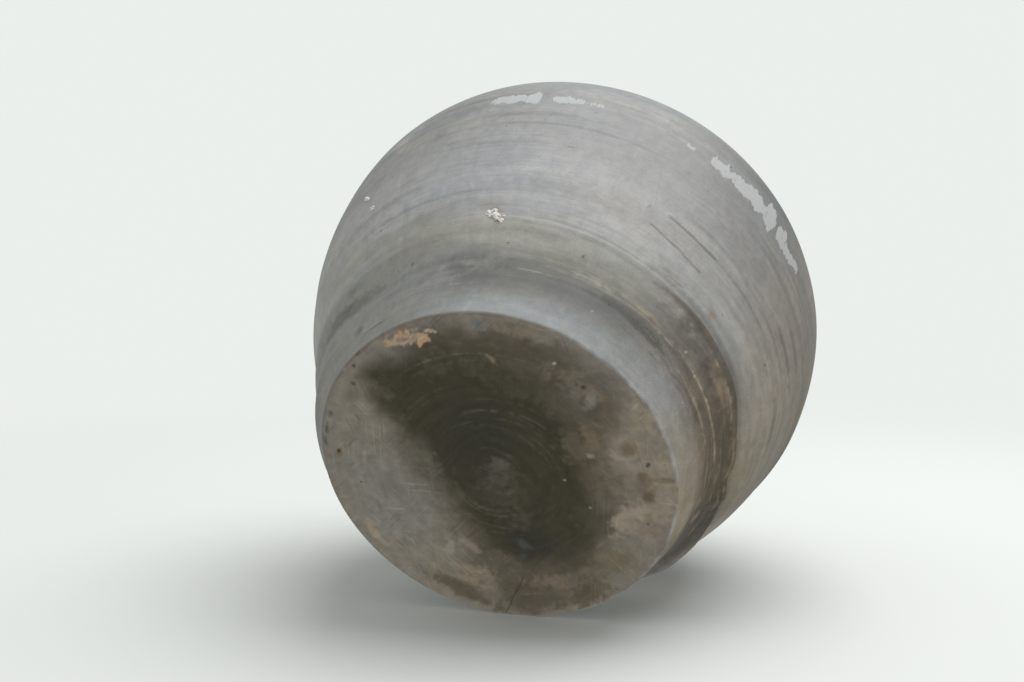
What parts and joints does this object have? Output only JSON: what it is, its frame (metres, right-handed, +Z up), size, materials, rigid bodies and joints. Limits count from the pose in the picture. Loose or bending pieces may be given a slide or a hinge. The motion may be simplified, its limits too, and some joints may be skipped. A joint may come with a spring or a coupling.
{
  "type": "clay pot",
  "caption": "Wide round black clay pot with a flat base, flared foot, ridge, full shoulder, short neck and rolled lip.",
  "frame": {"origin": "centre of the flat base, on the surface that the pot stands on", "axes": "+Z up along the pot's axis, from the base to the mouth; +X and +Y are free, because the clay is turned"},
  "size_m": [0.346, 0.346, 0.304],
  "materials": {
    "base_clay": "unpolished fired clay with dark smoke stains",
    "foot_clay": "burnished satin, blue-grey",
    "ridge_clay": "burnished satin, brown-grey",
    "body_clay": "burnished satin, worn grey with turning marks",
    "upper_clay": "burnished satin, dark grey",
    "plaster": "matt lime plaster crumbs"
  },
  "bodies": {
    "root": {"base_slab": "base_clay", "foot_coil": "foot_clay", "ridge_coil": "ridge_clay", "lower_wall": "body_clay", "belly_wall": "body_clay", "shoulder": "upper_clay", "neck": "upper_clay", "lip_roll": "upper_clay"}
  },
  "joints": []
}
